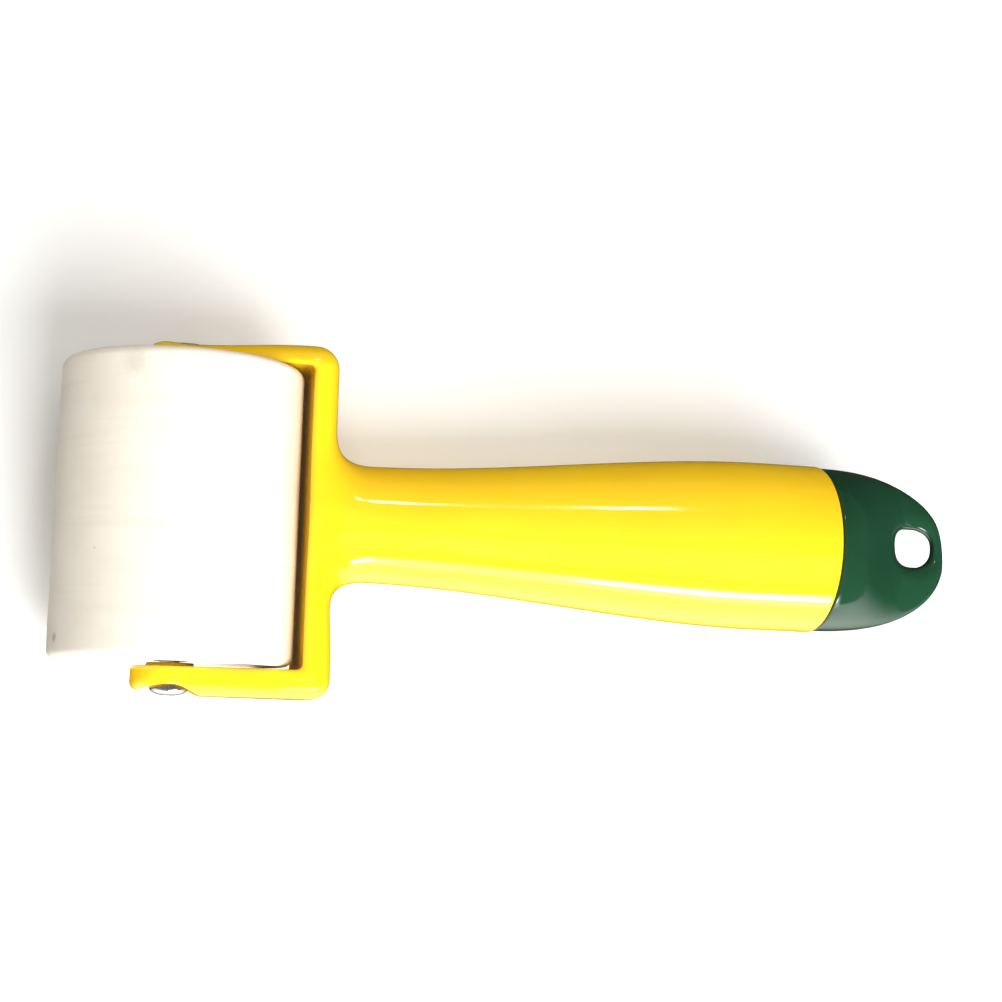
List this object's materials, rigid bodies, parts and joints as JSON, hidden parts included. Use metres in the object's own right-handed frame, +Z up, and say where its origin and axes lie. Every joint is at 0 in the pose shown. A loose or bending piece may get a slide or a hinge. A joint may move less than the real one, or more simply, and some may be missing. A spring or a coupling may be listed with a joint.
{
  "type": "hand press roller",
  "caption": "Hand roller: a white rubber-covered cylinder turning in a yellow U-shaped fork on a hollow grip with a green end cap and hanging hole.",
  "frame": {"origin": "under the middle of the tool, level with the roller's lowest line", "axes": "+X along the handle from the roller to the hanging hole, +Y along the roller's axle towards the nut, +Z up"},
  "size_m": [0.1929, 0.072, 0.0486],
  "materials": {
    "yellow_plastic": "glossy moulded ABS, warm yellow",
    "green_plastic": "glossy moulded plastic, dark green",
    "white_rubber": "smooth satin rubber, off-white",
    "natural_plastic": "uncoloured moulded plastic",
    "white_plastic": "off-white moulded plastic",
    "zinc_steel": "zinc plated steel",
    "bearing_steel": "ground bearing steel"
  },
  "bodies": {
    "handle": {"handle_frame": "yellow_plastic", "end_cap": "green_plastic", "axle_screw": "zinc_steel", "axle_nut": "zinc_steel", "head_washer": "zinc_steel", "thrust_washer_upper": "zinc_steel", "thrust_washer_lower": "zinc_steel", "bearing_spacer": "zinc_steel", "bearing_upper_inner_ring": "bearing_steel", "bearing_lower_inner_ring": "bearing_steel"},
    "roller": {"roller_sleeve": "white_rubber", "roller_core": "natural_plastic", "roller_hub_upper": "white_plastic", "roller_hub_lower": "white_plastic", "bearing_upper_outer_ring": "bearing_steel", "bearing_upper_outside_shield": "zinc_steel", "bearing_upper_inside_shield": "zinc_steel", "bearing_lower_outer_ring": "bearing_steel", "bearing_lower_outside_shield": "zinc_steel", "bearing_lower_inside_shield": "zinc_steel"},
    "upper_ball_cage": {"bearing_upper_ball_cage": "zinc_steel", "bearing_upper_ball_1": "bearing_steel", "bearing_upper_ball_2": "bearing_steel", "bearing_upper_ball_3": "bearing_steel", "bearing_upper_ball_4": "bearing_steel", "bearing_upper_ball_5": "bearing_steel", "bearing_upper_ball_6": "bearing_steel", "bearing_upper_ball_7": "bearing_steel"},
    "lower_ball_cage": {"bearing_lower_ball_cage": "zinc_steel", "bearing_lower_ball_1": "bearing_steel", "bearing_lower_ball_2": "bearing_steel", "bearing_lower_ball_3": "bearing_steel", "bearing_lower_ball_4": "bearing_steel", "bearing_lower_ball_5": "bearing_steel", "bearing_lower_ball_6": "bearing_steel", "bearing_lower_ball_7": "bearing_steel"}
  },
  "joints": [
    {"name": "roller_spin", "type": "hinge", "parent": "handle", "child": "roller", "pos_m": [-0.0722, 0.00055, 0.0243], "axis": [0, 1, 0], "continuous": true},
    {"name": "upper_cage_orbit", "type": "hinge", "parent": "handle", "child": "upper_ball_cage", "pos_m": [-0.0722, 0.00055, 0.0243], "axis": [0, 1, 0], "continuous": true},
    {"name": "lower_cage_orbit", "type": "hinge", "parent": "handle", "child": "lower_ball_cage", "pos_m": [-0.0722, 0.00055, 0.0243], "axis": [0, 1, 0], "continuous": true}
  ],
  "couplings": [
    {"joint": "upper_cage_orbit", "follows": "roller_spin", "ratio": 0.6176},
    {"joint": "lower_cage_orbit", "follows": "roller_spin", "ratio": 0.6176}
  ]
}
